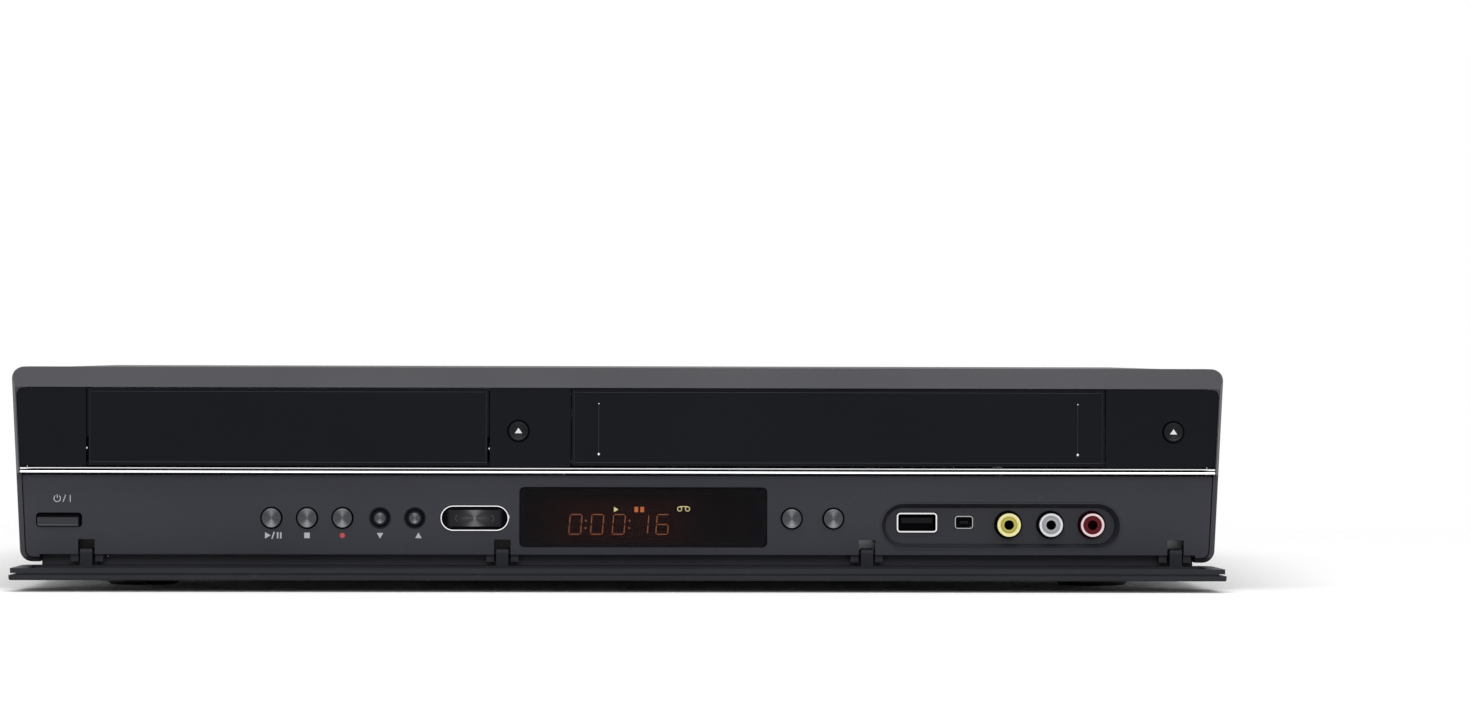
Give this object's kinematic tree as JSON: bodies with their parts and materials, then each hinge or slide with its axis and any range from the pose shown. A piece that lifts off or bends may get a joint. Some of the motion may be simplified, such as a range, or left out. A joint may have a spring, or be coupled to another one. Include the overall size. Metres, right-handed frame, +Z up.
{
  "type": "disc and cassette recorder",
  "caption": "Wide flat disc and video cassette recorder with disc tray, cassette door, drop-down front flap, buttons, display and front jacks.",
  "frame": {"origin": "middle of the bounding box on the plane of the feet, with the flap open", "axes": "+X to the right seen from the front, +Y to the back, +Z up"},
  "size_m": [0.43, 0.3728, 0.0785],
  "materials": {
    "case_black": "moulded satin black with a grey sheen",
    "piano_black": "high gloss black",
    "panel_black": "fine matt black moulding",
    "bright_trim": "bright plated",
    "smoked_glass": "smoked clear plastic, high gloss",
    "display_glass": "display tube glass",
    "plated_shell": "nickel plated sheet",
    "yellow_insulator": "yellow moulding with plated sleeve",
    "white_insulator": "white moulding with plated sleeve",
    "red_insulator": "red moulding with plated sleeve",
    "circuit_board": "solder resist on laminate",
    "zinc_steel": "zinc coated sheet steel",
    "cover_paint": "fine textured black paint on steel",
    "black_screw": "blackened steel",
    "foot_plastic": "soft black foot",
    "inlet_plastic": "black moulding",
    "drive_plastic": "black moulding",
    "white_plastic": "white moulding",
    "cast_metal": "machined die cast aluminium",
    "polished_steel": "ground steel",
    "roller_rubber": "ground rubber",
    "button_metal": "turned metal-look cap",
    "button_black": "black cap"
  },
  "bodies": {
    "casing": {"front_bezel": "case_black", "upper_fascia": "piano_black", "chrome_strip": "bright_trim", "lower_panel": "panel_black", "dubbing_ring": "bright_trim", "display_window": "smoked_glass", "display_module": "display_glass", "jack_plate": "panel_black", "usb_port": "plated_shell", "dv_port": "plated_shell", "video_jack": "yellow_insulator", "audio_left_jack": "white_insulator", "audio_right_jack": "red_insulator", "front_board": "circuit_board", "chassis_base": "zinc_steel", "top_cover": "cover_paint", "cover_screws": "black_screw", "rear_panel": "cover_paint", "feet": "foot_plastic", "main_board": "circuit_board", "power_board": "circuit_board", "mains_inlet": "inlet_plastic", "tuner": "plated_shell", "scart_sockets": "inlet_plastic", "fan_frame": "inlet_plastic", "drive_frame": "drive_plastic", "drive_cover": "zinc_steel", "traverse_deck": "zinc_steel", "deck_chassis": "zinc_steel", "drum_base": "cast_metal"},
    "flap": {"front_flap": "case_black"},
    "disc_tray": {"disc_tray": "drive_plastic", "disc_door": "piano_black"},
    "cassette_door": {"cassette_door": "piano_black"},
    "fan_rotor": {"fan_rotor": "inlet_plastic"},
    "clamper": {"disc_clamper": "white_plastic"},
    "tray_gear": {"tray_gear": "white_plastic"},
    "turntable": {"disc_turntable": "white_plastic"},
    "pickup_sled": {"pickup_sled": "cast_metal"},
    "head_drum": {"head_drum": "cast_metal"},
    "capstan": {"capstan": "polished_steel"},
    "supply_reel": {"supply_reel": "white_plastic"},
    "takeup_reel": {"takeup_reel": "white_plastic"},
    "pinch_arm": {"pinch_arm": "zinc_steel"},
    "pinch_roller": {"pinch_roller": "roller_rubber"},
    "carriage": {"cassette_carriage": "zinc_steel"},
    "holder": {"cassette_holder": "zinc_steel"},
    "play_button": {"play_button": "button_metal"},
    "stop_button": {"stop_button": "button_metal"},
    "record_button": {"record_button": "button_metal"},
    "channel_down_button": {"channel_down_button": "button_metal"},
    "channel_up_button": {"channel_up_button": "button_metal"},
    "source_button": {"source_button": "button_metal"},
    "resolution_button": {"resolution_button": "button_metal"},
    "disc_eject_button": {"disc_eject_button": "button_metal"},
    "tape_eject_button": {"tape_eject_button": "button_metal"},
    "dubbing_button": {"dubbing_button": "button_black"},
    "power_button": {"power_button": "button_black"}
  },
  "joints": [
    {"name": "flap_hinge", "type": "hinge", "parent": "casing", "child": "flap", "pos_m": [0, -0.1586, 0.01255], "axis": [-1, 0, 0], "range_deg": [0, 90]},
    {"name": "tray_slide", "type": "slide", "parent": "casing", "child": "disc_tray", "axis": [0, -1, 0], "range_m": [0, 0.135]},
    {"name": "tray_gear_spin", "type": "hinge", "parent": "casing", "child": "tray_gear", "pos_m": [-0.16725, -0.13615, 0.049], "axis": [0, 0, 1], "range_deg": [0, 970]},
    {"name": "cassette_door_hinge", "type": "hinge", "parent": "casing", "child": "cassette_door", "pos_m": [0.0776, -0.16265, 0.0693], "axis": [1, 0, 0], "range_deg": [0, 80], "stiffness_Nm_per_rad": 0.008, "springref_deg": -22.92},
    {"name": "play_button_press", "type": "slide", "parent": "casing", "child": "play_button", "axis": [0, 1, 0], "range_m": [0, 0.001], "stiffness_N_per_m": 400, "springref_m": -0.0008},
    {"name": "stop_button_press", "type": "slide", "parent": "casing", "child": "stop_button", "axis": [0, 1, 0], "range_m": [0, 0.001], "stiffness_N_per_m": 400, "springref_m": -0.0008},
    {"name": "record_button_press", "type": "slide", "parent": "casing", "child": "record_button", "axis": [0, 1, 0], "range_m": [0, 0.001], "stiffness_N_per_m": 400, "springref_m": -0.0008},
    {"name": "channel_down_button_press", "type": "slide", "parent": "casing", "child": "channel_down_button", "axis": [0, 1, 0], "range_m": [0, 0.001], "stiffness_N_per_m": 400, "springref_m": -0.0008},
    {"name": "channel_up_button_press", "type": "slide", "parent": "casing", "child": "channel_up_button", "axis": [0, 1, 0], "range_m": [0, 0.001], "stiffness_N_per_m": 400, "springref_m": -0.0008},
    {"name": "source_button_press", "type": "slide", "parent": "casing", "child": "source_button", "axis": [0, 1, 0], "range_m": [0, 0.001], "stiffness_N_per_m": 400, "springref_m": -0.0008},
    {"name": "resolution_button_press", "type": "slide", "parent": "casing", "child": "resolution_button", "axis": [0, 1, 0], "range_m": [0, 0.001], "stiffness_N_per_m": 400, "springref_m": -0.0008},
    {"name": "disc_eject_button_press", "type": "slide", "parent": "casing", "child": "disc_eject_button", "axis": [0, 1, 0], "range_m": [0, 0.001], "stiffness_N_per_m": 400, "springref_m": -0.0008},
    {"name": "tape_eject_button_press", "type": "slide", "parent": "casing", "child": "tape_eject_button", "axis": [0, 1, 0], "range_m": [0, 0.001], "stiffness_N_per_m": 400, "springref_m": -0.0008},
    {"name": "dubbing_button_press", "type": "slide", "parent": "casing", "child": "dubbing_button", "axis": [0, 1, 0], "range_m": [0, 0.001], "stiffness_N_per_m": 400, "springref_m": -0.0008},
    {"name": "power_button_press", "type": "slide", "parent": "casing", "child": "power_button", "axis": [0, 1, 0], "range_m": [0, 0.001], "stiffness_N_per_m": 400, "springref_m": -0.0008},
    {"name": "fan_spin", "type": "hinge", "parent": "casing", "child": "fan_rotor", "pos_m": [-0.15, 0.16885, 0.046], "axis": [0, 1, 0], "continuous": true},
    {"name": "turntable_spin", "type": "hinge", "parent": "casing", "child": "turntable", "pos_m": [-0.1171, -0.09815, 0.05], "axis": [0, 0, 1], "continuous": true},
    {"name": "clamper_spin", "type": "hinge", "parent": "casing", "child": "clamper", "pos_m": [-0.1171, -0.09815, 0.06], "axis": [0, 0, 1], "continuous": true},
    {"name": "sled_slide", "type": "slide", "parent": "casing", "child": "pickup_sled", "axis": [0, 1, 0], "range_m": [0, 0.034]},
    {"name": "drum_spin", "type": "hinge", "parent": "casing", "child": "head_drum", "pos_m": [0.0776, 0.06085, 0.0445], "axis": [0, -0.0872, 0.9962], "continuous": true},
    {"name": "capstan_spin", "type": "hinge", "parent": "casing", "child": "capstan", "pos_m": [0.128, 0.03285, 0.03], "axis": [0, 0, 1], "continuous": true},
    {"name": "supply_reel_spin", "type": "hinge", "parent": "casing", "child": "supply_reel", "pos_m": [0.0316, -0.04215, 0.03], "axis": [0, 0, 1], "continuous": true},
    {"name": "takeup_reel_spin", "type": "hinge", "parent": "casing", "child": "takeup_reel", "pos_m": [0.1236, -0.04215, 0.03], "axis": [0, 0, 1], "continuous": true},
    {"name": "pinch_arm_swing", "type": "hinge", "parent": "casing", "child": "pinch_arm", "pos_m": [0.15, 0.05485, 0.04], "axis": [0, 0, -1], "range_deg": [0, 25]},
    {"name": "pinch_roller_spin", "type": "hinge", "parent": "pinch_arm", "child": "pinch_roller", "pos_m": [0.1467, 0.02905, 0.048], "axis": [0, 0, 1], "continuous": true},
    {"name": "carriage_slide", "type": "slide", "parent": "casing", "child": "carriage", "axis": [0, 1, 0], "range_m": [0, 0.044]},
    {"name": "holder_lower", "type": "slide", "parent": "carriage", "child": "holder", "axis": [0, 0, -1], "range_m": [0, 0.016]}
  ],
  "couplings": [
    {"joint": "tray_gear_spin", "follows": "tray_slide", "rad_per_m": 125},
    {"joint": "clamper_spin", "follows": "turntable_spin", "ratio": 1}
  ]
}
